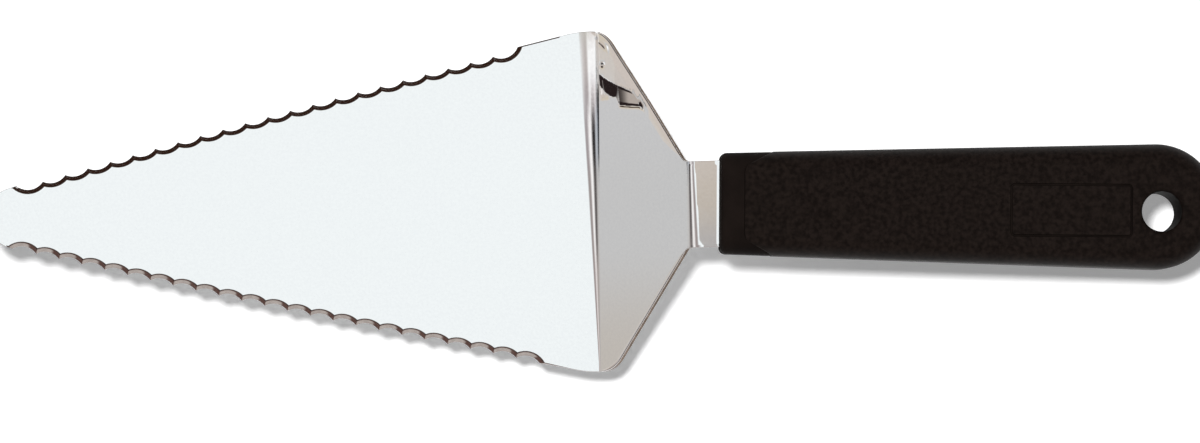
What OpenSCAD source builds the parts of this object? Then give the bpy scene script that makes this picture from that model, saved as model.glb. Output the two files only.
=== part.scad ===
// Cranked cake server: a stamped steel blade with scalloped edges, moulded into a two-shot plastic handle.
// The blade lies on z = 0 and points to -X, the handle lies above z = 0 and points to +X.

/* [Sheet] */
// Thickness of the steel sheet
sheet_t = 1.2; // [0.8:0.1:1.8]

/* [Blade] */
// Length of the blade, from the tip to the heel bend
blade_l = 149.1; // [125:0.1:170]
// Angle between each long edge and the blade's axis
edge_angle = 13.85; // [11:0.01:15]
// Radius of the rounded tip
tip_r = 7.5; // [4:0.1:10]
// Radius of the slight bow along each long edge
edge_bow_r = 3000; // [1500:100:6000]
// Radius that turns each long edge into the heel
heel_edge_r = 25; // [8:1:32]
// Radius of the heel corners, on the riser's side
heel_corner_r = 8.7; // [6:0.1:16]

/* [Serration] */
// Radius of the wheel that grinds each scallop
scallop_r = 4.4; // [3.8:0.05:7]
// Distance from scallop to scallop along the edge
scallop_pitch = 5.72; // [5:0.01:7]
// Depth of a scallop from the plain edge, on the far side
far_scallop_depth = 1.85; // [1.1:0.01:2.2]
// Depth of a scallop from the plain edge, on the near side
near_scallop_depth = 1.2; // [1.1:0.01:2.2]
// Width of the bevel ground on the upper face
bevel_w = 0.9; // [0.3:0.05:1.2]
// Plain edge between the heel and the first scallop, on the far side
far_plain_l = 19.2; // [8:0.1:40]
// Plain edge between the heel and the first scallop, on the near side
near_plain_l = 15.5; // [8:0.1:40]

/* [Riser and neck] */
// Run of the riser along the blade's axis, between its two bends
riser_run = 22.4; // [18:0.1:32]
// Height that the riser lifts the handle
riser_rise = 22.6; // [16:0.1:30]
// Inner radius of the heel bend
heel_bend_r = 4.5; // [2:0.1:7]
// Inner radius of the neck bend
neck_bend_r = 0.8; // [0.6:0.1:3]
// Width of the neck
neck_w = 21; // [14:0.1:22]
// Length of bare neck, from its bend to the handle
neck_l = 6.2; // [4:0.1:14]
// Length of the full-width neck that is moulded into the collar
neck_seat_l = 3.5; // [2:0.1:5]
// Radius between the riser's slanted edges and the neck
neck_fillet_r = 2.2; // [1:0.1:8]
// Distance that the neck sits off the blade's axis, 0 when true
neck_offset = 2.25; // [0:0.1:4]

/* [Tang] */
// Width of the tang inside the handle
tang_w = 12; // [8:0.1:12.5]
// Length of the tang inside the handle
tang_l = 78; // [50:1:84]
// Diameter of the two keying holes in the tang
key_hole_d = 5; // [3:0.1:7]

/* [Handle] */
// Length of the handle
handle_l = 121.2; // [112:0.1:150]
// Width of the handle at its front
front_w = 24.7; // [22:0.1:27]
// Width of the handle at its round end
end_w = 30.4; // [28:0.1:36]
// Thickness of the handle at its front
front_t = 14; // [12:0.1:17]
// Thickness of the handle at its round end
end_t = 17; // [13:0.1:20]
// Radius along the handle's long edges
grip_edge_r = 4.8; // [3:0.1:5.5]
// Radius round the handle's front edge
front_edge_r = 1.4; // [0.6:0.1:2.5]
// Angle that the handle points off the blade's axis, 0 when true
handle_turn = 2.1; // [0:0.1:4]

/* [Collar and grip] */
// Length of the collar on the upper face, ahead of the grip's tongue
collar_l = 5.6; // [4:0.1:8]
// Length of the collar along the handle's sides
collar_side_l = 12; // [9:0.1:16]
// Width of the grip's tongue at its front, before its corners are rounded
tongue_w = 17.5; // [14:0.1:20]
// Radius of the tongue's corners
tongue_r = 2.4; // [1:0.1:4]
// Height that the grip stands proud of the collar
grip_proud = 0.1; // [0.1:0.05:0.6]
// Width of the core's bar inside the grip
bar_w = 15; // [14:0.1:16]
// Thickness of the core's bar inside the grip
bar_t = 7.5; // [5:0.1:8.5]

/* [Hanging hole] */
// Diameter of the hole
hole_d = 9.7; // [6:0.1:10]
// Radius that rounds the hole's rim on both faces
hole_rim_r = 1.1; // [0.5:0.1:2]
// Distance from the handle's round end to the middle of the hole
hole_end_l = 14.2; // [13:0.1:18]
// Distance that the hole sits off the handle's axis, 0 when true
hole_offset = 1.3; // [0:0.1:2]

/* [Hidden] */
$fn = 96;

// Cuts run this far past the surface that they open
overrun = 1;
// Straight outline carried over each bend, so that both sides of a bend meet
bend_land = 0.6;
// Steps in half of a bend
bend_steps = 4;
// Steps along the bow of a long edge
bow_steps = 16;
// Steps round a corner of the grip's tongue
tongue_steps = 6;
// Facets round a full circle in the hulls that shape the handle
hull_fn = 32;
// Steps in the quarter round at the handle's front
front_steps = 4;
// Thickness of the slices that the handle's hulls are spanned over
slice_l = 0.01;
// Plastic between the tang's end and the bar's end
bar_end_l = 3;
// Share of the tang's length at which each keying hole sits
key_hole_shares = [0.3, 0.75];

half_sheet = sheet_t / 2;
riser_angle = atan2(riser_rise, riser_run);
riser_slope_l = norm([riser_run, riser_rise]);

apex_l = blade_l - tip_r + tip_r / sin(edge_angle);
apex_half_w = apex_l * tan(edge_angle);
heel_half_w = apex_half_w - heel_edge_r * (1 / cos(edge_angle) - 1) - bend_land * tan(edge_angle);
tip_tangent_l = apex_l / cos(edge_angle) - tip_r / tan(edge_angle);
heel_turn_l = heel_edge_r * tan(edge_angle / 2);
bow_start_l = (bend_land + heel_turn_l) / cos(edge_angle) + heel_turn_l;
pitch_count = function (plain_l) floor((tip_tangent_l - plain_l) / scallop_pitch);

heel_mid_r = heel_bend_r + half_sheet;
neck_mid_r = neck_bend_r + half_sheet;
heel_setback = heel_mid_r * tan(riser_angle / 2);
neck_setback = neck_mid_r * tan(riser_angle / 2);
heel_center = [-heel_setback, sheet_t + heel_bend_r];
neck_center = [riser_run + neck_setback, riser_rise - neck_bend_r];
sheet_w = 2 * heel_half_w + 2 * overrun;
tang_end_x = riser_run + neck_l + tang_l;

end_r = end_w / 2;
end_center_l = handle_l - end_r;
handle_front = [riser_run + neck_l, -neck_offset, half_sheet + riser_rise];
part_end_x = handle_front.x + end_center_l * cos(handle_turn) + end_r;
center_shift = (blade_l - part_end_x) / 2;

// Points along an arc round a centre
function arc(center, r, from_angle, to_angle, steps) = [
    for (i = [0 : steps])
        let (a = from_angle + (to_angle - from_angle) * i / steps)
        center + r * [cos(a), sin(a)]
];

function reversed(points) = [for (i = [len(points) - 1 : -1 : 0]) points[i]];

// Height of a long edge's bow over the straight line from heel to tip, at a length along that line
function bow(l) = max(0, (l - bow_start_l) * (tip_tangent_l - l) / (2 * edge_bow_r));

// Place beside a long edge, by the length along it from the heel and the distance outside it
function edge_place(side, l, outside) =
    let (
        edge = [-cos(edge_angle), -side * sin(edge_angle)],
        outward = [-sin(edge_angle), side * cos(edge_angle)]
    )
    [0, side * apex_half_w] + l * edge + (bow(l) + outside) * outward;

function edge_points(side) = [
    for (i = [0 : bow_steps])
        edge_place(side, bow_start_l + (tip_tangent_l - bow_start_l) * i / bow_steps, 0)
];

// Half of a bend on either face of the sheet, going away from the tip
function heel_arc(r, from_share, to_share) = arc(
    heel_center, r, -90 + from_share * riser_angle, -90 + to_share * riser_angle, bend_steps
);
function neck_arc(r, from_share, to_share) = arc(
    neck_center, r, 90 + from_share * riser_angle, 90 + to_share * riser_angle, bend_steps
);

// Side view of the sheet up to the middle of the heel bend
module flat_profile() {
    polygon(concat(
        [[-blade_l - overrun, 0]],
        heel_arc(heel_bend_r + sheet_t, 0, 0.5),
        reversed(heel_arc(heel_bend_r, 0, 0.5)),
        [[-blade_l - overrun, sheet_t]]
    ));
}

// Side view of the sheet from the middle of the heel bend to the middle of the neck bend
module riser_profile() {
    polygon(concat(
        heel_arc(heel_bend_r + sheet_t, 0.5, 1),
        neck_arc(neck_bend_r, 1, 0.5),
        reversed(neck_arc(neck_bend_r + sheet_t, 1, 0.5)),
        reversed(heel_arc(heel_bend_r, 0.5, 1))
    ));
}

// Side view of the sheet from the middle of the neck bend to the tang's end
module neck_profile() {
    polygon(concat(
        neck_arc(neck_bend_r, 0.5, 0),
        [[tang_end_x, riser_rise], [tang_end_x, riser_rise + sheet_t]],
        reversed(neck_arc(neck_bend_r + sheet_t, 0.5, 0))
    ));
}

// Carries a side view across the whole width of the sheet
module across_sheet() {
    rotate([90, 0, 0])
        linear_extrude(sheet_w, center = true)
        children();
}

// Outline of the blade before its scallops are ground, seen from above
module blade_outline() {
    arc_x = -bend_land - heel_edge_r * sin(edge_angle);
    arc_center_y = heel_half_w - heel_edge_r;
    polygon(concat(edge_points(1), reversed(edge_points(-1))));
    translate([-blade_l + tip_r, 0])
        circle(tip_r);
    intersection() {
        translate([arc_x, -heel_half_w])
            square([-bend_land - arc_x, 2 * heel_half_w]);
        union() {
            for (side = [-1, 1])
                translate([-bend_land, side * arc_center_y])
                circle(heel_edge_r);
            translate([arc_x, -arc_center_y])
                square([-bend_land - arc_x, 2 * arc_center_y]);
        }
    }
    heel_land();
}

// Straight outline of the sheet over the heel bend
module heel_land() {
    translate([-bend_land, -heel_half_w])
        square([2 * bend_land, 2 * heel_half_w]);
}

// Outline of the riser in its own sloping plane, from the heel bend to the neck bend
module riser_outline() {
    straight_x = riser_slope_l - bend_land;
    for (side = [-1, 1]) {
        corner = [bend_land, side * (heel_half_w - heel_corner_r)];
        neck = [straight_x, side * neck_w / 2 - neck_offset];
        fillet = neck + [0, side * neck_fillet_r];
        // The slanted edge touches the corner's circle on its outside and the fillet's on its inside
        gap = fillet - corner;
        lean = atan2(side * gap.y, gap.x) - asin((heel_corner_r + neck_fillet_r) / norm(gap));
        touch = [cos(90 + lean), side * sin(90 + lean)];
        corner_touch = corner + heel_corner_r * touch;
        fillet_touch = fillet - neck_fillet_r * touch;
        difference() {
            polygon([
                [bend_land, -neck_offset],
                corner,
                corner_touch,
                fillet_touch,
                fillet,
                [straight_x, -neck_offset]
            ]);
            translate(fillet)
                circle(neck_fillet_r);
        }
        intersection() {
            translate(corner)
                circle(heel_corner_r);
            polygon([
                corner,
                corner + [0, side * 2 * heel_corner_r],
                corner + [heel_corner_r, side * 2 * heel_corner_r],
                corner_touch + heel_corner_r * touch,
                corner_touch
            ]);
        }
    }
    heel_land();
    translate([straight_x, -neck_w / 2 - neck_offset])
        square([2 * bend_land, neck_w]);
}

// Outline of the neck and the tang, seen from above
module neck_outline() {
    translate([riser_run - bend_land, -neck_w / 2 - neck_offset])
        square([neck_l + neck_seat_l + bend_land, neck_w]);
    translate([riser_run, -tang_w / 2 - neck_offset])
        square([neck_l + tang_l - tang_w / 2, tang_w]);
    translate([tang_end_x - tang_w / 2, -neck_offset])
        circle(tang_w / 2);
}

// The grinding wheels' envelope along one edge: side is 1 for the far edge and -1 for the near one
module scallops(side, plain_l, depth) {
    slope = bevel_w / sheet_t;
    below_r = scallop_r - slope * overrun;
    above_r = scallop_r + slope * (sheet_t + overrun);
    for (i = [0 : pitch_count(plain_l) - 1])
        translate(edge_place(side, plain_l + (i + 0.5) * scallop_pitch, scallop_r - depth))
        translate([0, 0, -overrun])
        cylinder(h = sheet_t + 2 * overrun, r1 = below_r, r2 = above_r);
}

// The two keying holes through the tang, or the plastic that fills them
module key_pins(height) {
    for (share = key_hole_shares)
        translate([handle_front.x + share * tang_l, -neck_offset, riser_rise + half_sheet])
        cylinder(h = height, d = key_hole_d, center = true);
}

module bent_sheet() {
    intersection() {
        across_sheet() flat_profile();
        translate([0, 0, -overrun])
            linear_extrude(sheet_t + heel_bend_r)
            blade_outline();
    }
    intersection() {
        across_sheet() riser_profile();
        translate([0, 0, half_sheet])
            rotate([0, -riser_angle, 0])
            linear_extrude(2 * heel_bend_r + 2 * sheet_t, center = true)
            riser_outline();
    }
    intersection() {
        across_sheet() neck_profile();
        translate([0, 0, riser_rise - neck_bend_r - overrun])
            linear_extrude(neck_bend_r + sheet_t + 2 * overrun)
            neck_outline();
    }
}

module blade() {
    color("gainsboro")
        difference() {
            bent_sheet();
            scallops(1, far_plain_l, far_scallop_depth);
            scallops(-1, near_plain_l, near_scallop_depth);
            key_pins(sheet_t + 2 * overrun);
        }
}

// One slice across the handle, square to its axis
module handle_slice(width, thickness, edge_r) {
    rotate([90, 0, 90])
        linear_extrude(slice_l)
        for (y = [-1, 1], z = [-1, 1])
            translate([y * (width / 2 - edge_r), z * (thickness / 2 - edge_r)])
            circle(edge_r, $fn = hull_fn);
}

// The handle's outer shape in its own frame, drawn in by inset all round
module handle_body(inset) {
    edge_r = grip_edge_r - inset;
    hull() {
        for (i = [0 : front_steps]) {
            turn = 90 * i / front_steps;
            draw_in = inset + front_edge_r * (1 - sin(turn));
            translate([front_edge_r * (1 - cos(turn)), 0, 0])
                handle_slice(front_w - 2 * draw_in, front_t - 2 * draw_in, grip_edge_r - draw_in);
        }
        translate([end_center_l, 0, 0])
            for (z = [-1, 1])
                translate([0, 0, z * (end_t / 2 - grip_edge_r)])
                rotate_extrude($fn = 2 * hull_fn)
                translate([end_r - grip_edge_r, 0])
                circle(edge_r, $fn = hull_fn);
    }
}

// One rounded corner of the tongue and the flare behind it, seen from above on the far side
function seam_points() =
    let (
        flare_run = collar_side_l - collar_l,
        flare_rise = (front_w - tongue_w) / 2,
        flare_angle = atan2(flare_rise, flare_run),
        corner_inset = tongue_r * tan((90 - flare_angle) / 2),
        corner = [collar_l + tongue_r, tongue_w / 2 - corner_inset],
        half_w = end_w / 2 + overrun,
        flare_end = collar_side_l + (half_w - front_w / 2) * flare_run / flare_rise
    )
    concat(arc(corner, tongue_r, 180, 90 + flare_angle, tongue_steps), [[flare_end, half_w]]);

// The seam between collar and grip, seen from above: the grip lies behind it
module grip_outline() {
    far_side = seam_points();
    near_side = [for (p = far_side) [p.x, -p.y]];
    half_w = end_w / 2 + overrun;
    polygon(concat(
        far_side,
        [[handle_l + overrun, half_w], [handle_l + overrun, -half_w]],
        reversed(near_side)
    ));
}

// The space that the grip fills, seam to end
module grip_space(height) {
    linear_extrude(height, center = true)
        grip_outline();
}

// Puts what is drawn in the handle's frame on the neck
module at_handle() {
    translate(handle_front)
        rotate([0, 0, -handle_turn])
        children();
}

// The core's bar round the tang, lined up with the tang
module core_bar() {
    bar_start_x = handle_front.x + collar_l / 2;
    bar_end_x = tang_end_x + bar_end_l;
    translate([bar_start_x, -bar_w / 2 - neck_offset, handle_front.z - bar_t / 2])
        cube([bar_end_x - bar_start_x, bar_w, bar_t]);
}

module handle_core() {
    color("#211a18")
        difference() {
            union() {
                at_handle()
                    difference() {
                        handle_body(grip_proud);
                        grip_space(end_t + 2 * overrun);
                    }
                core_bar();
            }
            difference() {
                bent_sheet();
                key_pins(sheet_t + 2 * overrun);
            }
        }
}

// The hanging hole with its rounded rims, along the handle's own Z
module hanging_hole() {
    half_t = end_t / 2;
    cylinder(h = end_t + 2 * overrun, d = hole_d, center = true);
    for (side = [-1, 1])
        scale([1, 1, side])
        rotate_extrude()
        difference() {
            translate([0, half_t - hole_rim_r])
                square([hole_d / 2 + hole_rim_r, hole_rim_r + overrun]);
            translate([hole_d / 2 + hole_rim_r, half_t - hole_rim_r])
                circle(hole_rim_r);
        }
}

module handle_grip() {
    color("#1e1916")
        difference() {
            at_handle()
                difference() {
                    intersection() {
                        handle_body(0);
                        grip_space(end_t + 2 * overrun);
                    }
                    translate([handle_l - hole_end_l, -hole_offset, 0])
                        hanging_hole();
                }
            core_bar();
        }
}

module placed() {
    translate([center_shift, 0, 0])
        children();
}

placed() blade();
placed() handle_core();
placed() handle_grip();
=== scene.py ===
import math

import bpy
import numpy as np
from mathutils import Matrix, Vector
from mathutils.geometry import delaunay_2d_cdt


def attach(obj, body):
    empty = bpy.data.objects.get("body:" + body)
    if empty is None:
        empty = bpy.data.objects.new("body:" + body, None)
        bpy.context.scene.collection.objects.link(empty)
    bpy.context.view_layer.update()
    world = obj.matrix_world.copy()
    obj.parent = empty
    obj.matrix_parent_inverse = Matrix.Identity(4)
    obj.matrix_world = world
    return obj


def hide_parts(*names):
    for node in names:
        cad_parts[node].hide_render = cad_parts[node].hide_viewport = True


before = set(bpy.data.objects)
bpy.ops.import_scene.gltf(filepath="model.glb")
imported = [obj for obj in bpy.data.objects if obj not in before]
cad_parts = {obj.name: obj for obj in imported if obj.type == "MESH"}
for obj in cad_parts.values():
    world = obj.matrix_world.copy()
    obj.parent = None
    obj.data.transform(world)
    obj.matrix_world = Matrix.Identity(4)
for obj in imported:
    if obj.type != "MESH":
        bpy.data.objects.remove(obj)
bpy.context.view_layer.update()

MM = 0.001

# Sizes of the part, in millimetres. The neck's bend is half a millimetre nearer the tip than in the solids

SHEET_T = 1.2
BLADE_L = 149.1
EDGE_ANGLE = math.radians(13.85)
TIP_R = 7.5
EDGE_BOW_R = 3000.0
HEEL_EDGE_R = 25.0
HEEL_CORNER_R = 8.7
SCALLOP_R = 4.4
SCALLOP_PITCH = 5.72
FAR_SCALLOP_DEPTH = 1.85
NEAR_SCALLOP_DEPTH = 1.2
BEVEL_W = 0.9
FAR_PLAIN_L = 19.2
NEAR_PLAIN_L = 15.5
RISER_RUN = 21.9
RISER_RISE = 22.6
HEEL_BEND_R = 4.5
NECK_W = 21.0
NECK_L = 6.7
NECK_SEAT_L = 3.5
NECK_FILLET_R = 2.2
NECK_OFFSET = 2.25
TANG_W = 12.0
TANG_L = 78.0
HANDLE_L = 121.2
FRONT_W = 24.7
END_W = 30.4
FRONT_T = 14.0
END_T = 17.0
GRIP_EDGE_R = 4.8
FRONT_EDGE_R = 1.4
HANDLE_TURN = math.radians(2.1)
COLLAR_L = 5.6
COLLAR_SIDE_L = 12.0
TONGUE_W = 17.5
TONGUE_R = 2.4
GRIP_PROUD = 0.1
HOLE_D = 9.7
HOLE_RIM_R = 1.1
HOLE_END_L = 14.2
HOLE_OFFSET = 1.3
BEND_LAND = 0.6

HALF_SHEET = SHEET_T / 2
RISER_ANGLE = math.atan2(RISER_RISE, RISER_RUN)
RISER_L = math.hypot(RISER_RUN, RISER_RISE)
APEX_L = BLADE_L - TIP_R + TIP_R / math.sin(EDGE_ANGLE)
APEX_HALF_W = APEX_L * math.tan(EDGE_ANGLE)
HEEL_HALF_W = APEX_HALF_W - HEEL_EDGE_R * (1 / math.cos(EDGE_ANGLE) - 1) - BEND_LAND * math.tan(EDGE_ANGLE)
TIP_TANGENT_L = APEX_L / math.cos(EDGE_ANGLE) - TIP_R / math.tan(EDGE_ANGLE)
HEEL_TURN_L = HEEL_EDGE_R * math.tan(EDGE_ANGLE / 2)
BOW_START_L = (BEND_LAND + HEEL_TURN_L) / math.cos(EDGE_ANGLE) + HEEL_TURN_L
END_R = END_W / 2
END_CENTER_L = HANDLE_L - END_R
HANDLE_FRONT = Vector((RISER_RUN + NECK_L, -NECK_OFFSET, HALF_SHEET + RISER_RISE))
PART_END_X = HANDLE_FRONT.x + END_CENTER_L * math.cos(HANDLE_TURN) + END_R
CENTER_SHIFT = (BLADE_L - PART_END_X) / 2


# Mesh building

MERGE_GAP = 1e-6


def vec(*values):
    return np.array(values)


def unit(v):
    return v / np.linalg.norm(v)


def ray_at(angle):
    return vec(math.cos(angle), math.sin(angle))


def new_object(name, data):
    made = bpy.data.objects.new(name, data)
    bpy.context.scene.collection.objects.link(made)
    return made


class Skin:
    """Collects points and faces, each face with its corners' normals."""

    def __init__(self):
        self.points, self.faces, self.normals, self.slots = [], [], [], []

    def add(self, p):
        self.points.append(np.asarray(p, float))
        return len(self.points) - 1

    def face(self, corners, normals=None, slot=0):
        kept = [k for k, c in enumerate(corners) if c != corners[k - 1]]
        corners = [corners[k] for k in kept]
        if len(corners) < 3:
            return
        if normals is not None:
            normals = [normals[k] for k in kept]
            a, b, c = (self.points[corners[k]] for k in (0, 1, 2))
            flat = np.cross(b - a, c - a)
            if len(corners) == 4:
                flat = flat + np.cross(c - a, self.points[corners[3]] - a)
            if flat @ sum(normals) < 0:
                corners, normals = corners[::-1], normals[::-1]
        self.faces.append(corners)
        self.normals.append(normals)
        self.slots.append(slot)

    def build(self, name, materials, place):
        mesh = bpy.data.meshes.new(name)
        mesh.from_pydata([place(p) * MM for p in self.points], [], self.faces)
        for material in materials:
            mesh.materials.append(material)
        mesh.polygons.foreach_set("material_index", self.slots)
        mesh.polygons.foreach_set("use_smooth", [True] * len(self.faces))
        turn = [place(e) - place(np.zeros(3)) for e in np.eye(3)]
        corner_normals = []
        for face, normals in zip(self.faces, self.normals):
            if normals is None:
                corner_normals += [(0.0, 0.0, 0.0)] * len(face)
            else:
                turned = [n[0] * turn[0] + n[1] * turn[1] + n[2] * turn[2] for n in normals]
                corner_normals += [tuple(unit(n)) for n in turned]
        mesh.normals_split_custom_set(corner_normals)
        mesh.validate()
        return new_object(name, mesh)


def inside(points, loops):
    """Which of the points lie inside the loops, by crossings."""
    points = np.asarray(points, float)
    odd = np.zeros(len(points), bool)
    for loop in loops:
        a = np.asarray(loop, float)
        b = np.roll(a, -1, axis=0)
        for (ax, ay), (bx, by) in zip(a, b):
            if ay == by:
                continue
            between = (points[:, 1] >= min(ay, by)) & (points[:, 1] < max(ay, by))
            odd ^= between & (points[:, 0] < ax + (points[:, 1] - ay) * (bx - ax) / (by - ay))
    return odd


def fill(skin, loops, extra, lift, normal, extra_gap):
    """Fills a flat region between closed loops of (index, place) with triangles, through the extra places."""
    places = [p for loop in loops for _, p in loop]
    outlines = [[p for _, p in loop] for loop in loops]
    if len(extra):
        extra = np.asarray(extra, float)
        extra = extra[inside(extra, outlines)]
        rim = np.asarray(places, float)
        near = np.array([((rim - e) ** 2).sum(1).min() for e in extra]) if len(extra) else np.zeros(0)
        extra = extra[near > extra_gap ** 2]
    edges, start = [], 0
    for loop in loops:
        n = len(loop)
        edges += [(start + k, start + (k + 1) % n) for k in range(n)]
        start += n
    index = [i for loop in loops for i, _ in loop] + [skin.add(lift(e)) for e in extra]
    places = places + [e for e in extra]
    corners = [Vector((float(p[0]), float(p[1]))) for p in places]
    _, _, faces, origins, _, _ = delaunay_2d_cdt(corners, edges, [], 1, MERGE_GAP)
    back = [index[o[0]] if o else None for o in origins]
    flat = [places[o[0]] if o else None for o in origins]
    middles = [sum(np.asarray(flat[k], float) for k in f) / len(f) for f in faces]
    keep = inside(middles, outlines)
    for f, ok in zip(faces, keep):
        if ok and all(back[k] is not None for k in f):
            skin.face([back[k] for k in f], [normal(flat[k]) for k in f])


class Column:
    """One cut across a rim: a place for each ring, and the outward direction on either side of the cut."""

    def __init__(self, places, rings, before, after=None):
        self.places, self.rings = places, rings
        self.before, self.after = before, before if after is None else after

    def turned(self):
        return Column(self.places, self.rings, self.after, self.before)


def rim(skin, columns, lift, tilted, closed, slot_of):
    """Lays the strips between neighbouring rings of the columns, and returns each column's point indices."""
    table = [[skin.add(lift(p, ring)) for p, ring in zip(c.places, c.rings)] for c in columns]
    pairs = list(zip(range(len(columns)), range(1, len(columns))))
    if closed:
        pairs.append((len(columns) - 1, 0))
    for i, k in pairs:
        a, b = columns[i], columns[k]
        for j in range(len(a.rings) - 1):
            normals = [
                tilted(a.places[j], a.after, a.rings[j][3]),
                tilted(a.places[j + 1], a.after, a.rings[j + 1][2]),
                tilted(b.places[j + 1], b.before, b.rings[j + 1][2]),
                tilted(b.places[j], b.before, b.rings[j][3]),
            ]
            skin.face([table[i][j], table[i][j + 1], table[k][j + 1], table[k][j]], normals, slot_of(j, a, b))
    return table


# The blade: its outline is drawn on the flat blank, and the blank is bent

EDGE_ROUND = 0.22
PLAIN_ROUND = 0.1
PLAIN_W = 0.6
BURR_ROUND = 0.12
ROLL_W = 2.3
NEAR_ROLL_W = 0.8
ROLL_TILT = math.radians(4.0)
BEVEL_DROP = 0.8
BEVEL_TILT = math.atan2(BEVEL_DROP, BEVEL_W)
BEVEL_MARGIN = 0.4
CREASE_W = 0.45
BEND_R_FAR = 7.5
BEND_R_NEAR = 0.6
NECK_CURVE_R = 2.2
NECK_LIP_L = 0.7
NECK_LIP_RISE = 0.02
NECK_LIP_SLANT = 0.037
BEND_FLARE = (BEND_R_FAR - BEND_R_NEAR) / (2 * HEEL_HALF_W)
HALF_ROUND = 1 - math.cos(math.pi / 4)
EDGE_RING = 4
WHEEL_REACH = 1.4
HALVINGS = 40
SCALLOP_STEPS = 10
NECK_STEPS = 7
FILLET_STEPS = 6
SLANT_STEPS = 20
CORNER_STEPS = 40
ARC_STEPS = 12
NOSE_STEPS = 28
ROLL_GROWTH = 5


def bend_setback(v):
    share = min(max((v + HEEL_HALF_W) / (2 * HEEL_HALF_W), 0), 1)
    inner_r = BEND_R_NEAR + (BEND_R_FAR - BEND_R_NEAR) * share
    return (inner_r + HALF_SHEET) * math.tan(RISER_ANGLE / 2)


def lip_start(v):
    """Where along the blank the lip in front of the handle starts, slanting as the handle's front does."""
    return RISER_L + NECK_L - NECK_LIP_L + NECK_LIP_SLANT * (v + NECK_OFFSET)


def bent(w, v):
    """Middle of the sheet and the direction of its upper face, for a place on the blank."""
    heel = bend_setback(v)
    heel_r = heel / math.tan(RISER_ANGLE / 2)
    neck_r = NECK_CURVE_R + HALF_SHEET - BEND_FLARE * (v + NECK_OFFSET)
    neck = neck_r * math.tan(RISER_ANGLE / 2)
    if w <= -heel:
        return vec(w, v, HALF_SHEET), vec(0.0, 0.0, 1.0)
    if w < heel:
        a = RISER_ANGLE * (w + heel) / (2 * heel)
        z = HALF_SHEET + heel_r * (1 - math.cos(a))
        return vec(-heel + heel_r * math.sin(a), v, z), vec(-math.sin(a), 0.0, math.cos(a))
    if w <= RISER_L - neck:
        c, s = math.cos(RISER_ANGLE), math.sin(RISER_ANGLE)
        return vec(w * c, v, HALF_SHEET + w * s), vec(-s, 0.0, c)
    if w < RISER_L + neck:
        a = RISER_ANGLE * (RISER_L + neck - w) / (2 * neck)
        z = HALF_SHEET + RISER_RISE - neck_r * (1 - math.cos(a))
        return vec(RISER_RUN + neck - neck_r * math.sin(a), v, z), vec(-math.sin(a), 0.0, math.cos(a))
    lip = NECK_LIP_RISE * max(w - lip_start(v), 0)
    return vec(RISER_RUN + w - RISER_L, v, HALF_SHEET + RISER_RISE + lip), vec(0.0, 0.0, 1.0)


# The riser's far corner, marked by the press. Places on the blank are (along, across)

PRESS_FROM_W, PRESS_TO_W, PRESS_FROM_V = 1.8, 22, 18
LOWER_CREASE = (
    (0, 30.6), (1.5, 30.4), (3, 28.2), (5, 26.2), (6.5, 25.4), (8.2, 25.1), (9.4, 23.1), (12.8, 22.7),
    (15.5, 22.5), (17, 22.0), (18.2, 21.2), (20, 19.2),
)
UPPER_CREASE = (
    (0, 34.2), (1.5, 33.6), (3, 31.4), (5, 30.2), (6.5, 29.3), (9.3, 28.1), (15.2, 25.6), (18, 24.2),
    (20, 23),
)
# The steel past the upper crease is lifted: its height, where it falls again, and the runs of its ends
LIFT, LIFT_RUN, LIFT_TO_W, LIFT_END_RUN = 0.68, 1.9, 19.2, 4
LIFT_FALL, FALL_FROM_W, FALL_RUN = 0.65, 7.5, 9
# Fine lines along the creases: rise, half width, and start, its run, end and its run
CREASE_LINES = (
    (LOWER_CREASE, -0.07, 0.22, (8.8, 0.8, 18.8, 1)),
    (UPPER_CREASE, 0.035, 0.2, (9.3, 1, 16, 1.5)),
)
# Short troughs across the riser: place along it, start, end and depth
TROUGHS = ((3.9, 24.5, 31, 0.1), (5.2, 24.5, 29.5, 0.06))
TROUGH_HALF_W, TROUGH_END_RUN = 0.36, 1.5
SPOT, SPOT_DEPTH, SPOT_HALF_W = (4.6, 33.2), 0.13, 0.35
DASH, DASH_DEPTH, DASH_HALF_W = ((2.4, 39.8), (6.4, 37.1)), 0.08, 0.32
DASH_END_RUN, DASH_FADE_RUN = 2, 1.2


def smooth(t):
    t = min(max(t, 0.0), 1.0)
    return t * t * (3 - 2 * t)


def between(t, low, low_run, high, high_run):
    """1 between two places, falling to 0 at each of them over its run."""
    return smooth((t - low) / low_run) * smooth((high - t) / high_run)


def spread(off, half_w):
    return math.exp(-((off / half_w) ** 2) / 2)


def along_crease(w, crease):
    return float(np.interp(w, [c[0] for c in crease], [c[1] for c in crease]))


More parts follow.
